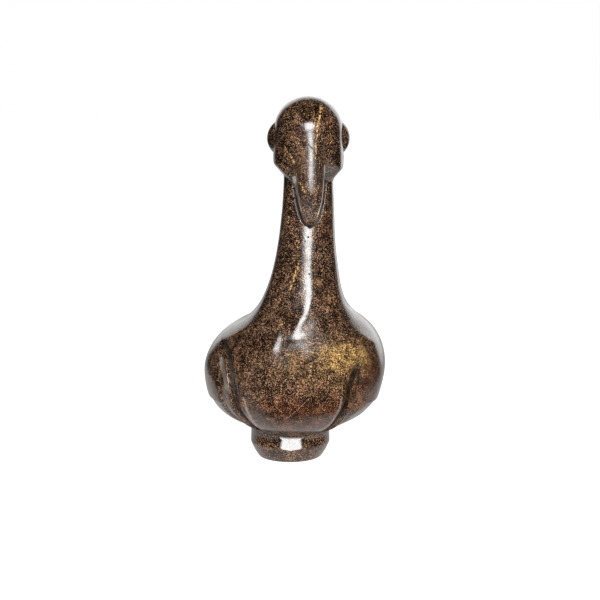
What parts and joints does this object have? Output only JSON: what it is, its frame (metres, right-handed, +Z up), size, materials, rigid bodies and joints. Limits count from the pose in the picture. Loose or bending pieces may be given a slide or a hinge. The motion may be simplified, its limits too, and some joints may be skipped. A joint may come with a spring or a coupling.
{
  "type": "serpentine bird sculpture",
  "caption": "Long-necked bird carved from one block of dark polished stone, with its beak laid against the neck, folded wings and a low round foot to stand on.",
  "frame": {"origin": "centre of the flat underside of the foot", "axes": "+Z up, the bird looks towards -Y, +X on the right of a viewer who faces it"},
  "size_m": [0.1894, 0.2291, 0.376],
  "materials": {
    "polished_serpentine": "hand polished dark brown stone with gold and rust flecks, a little duller on the breast"
  },
  "bodies": {
    "root": {"serpentine_bird": "polished_serpentine"}
  },
  "joints": []
}
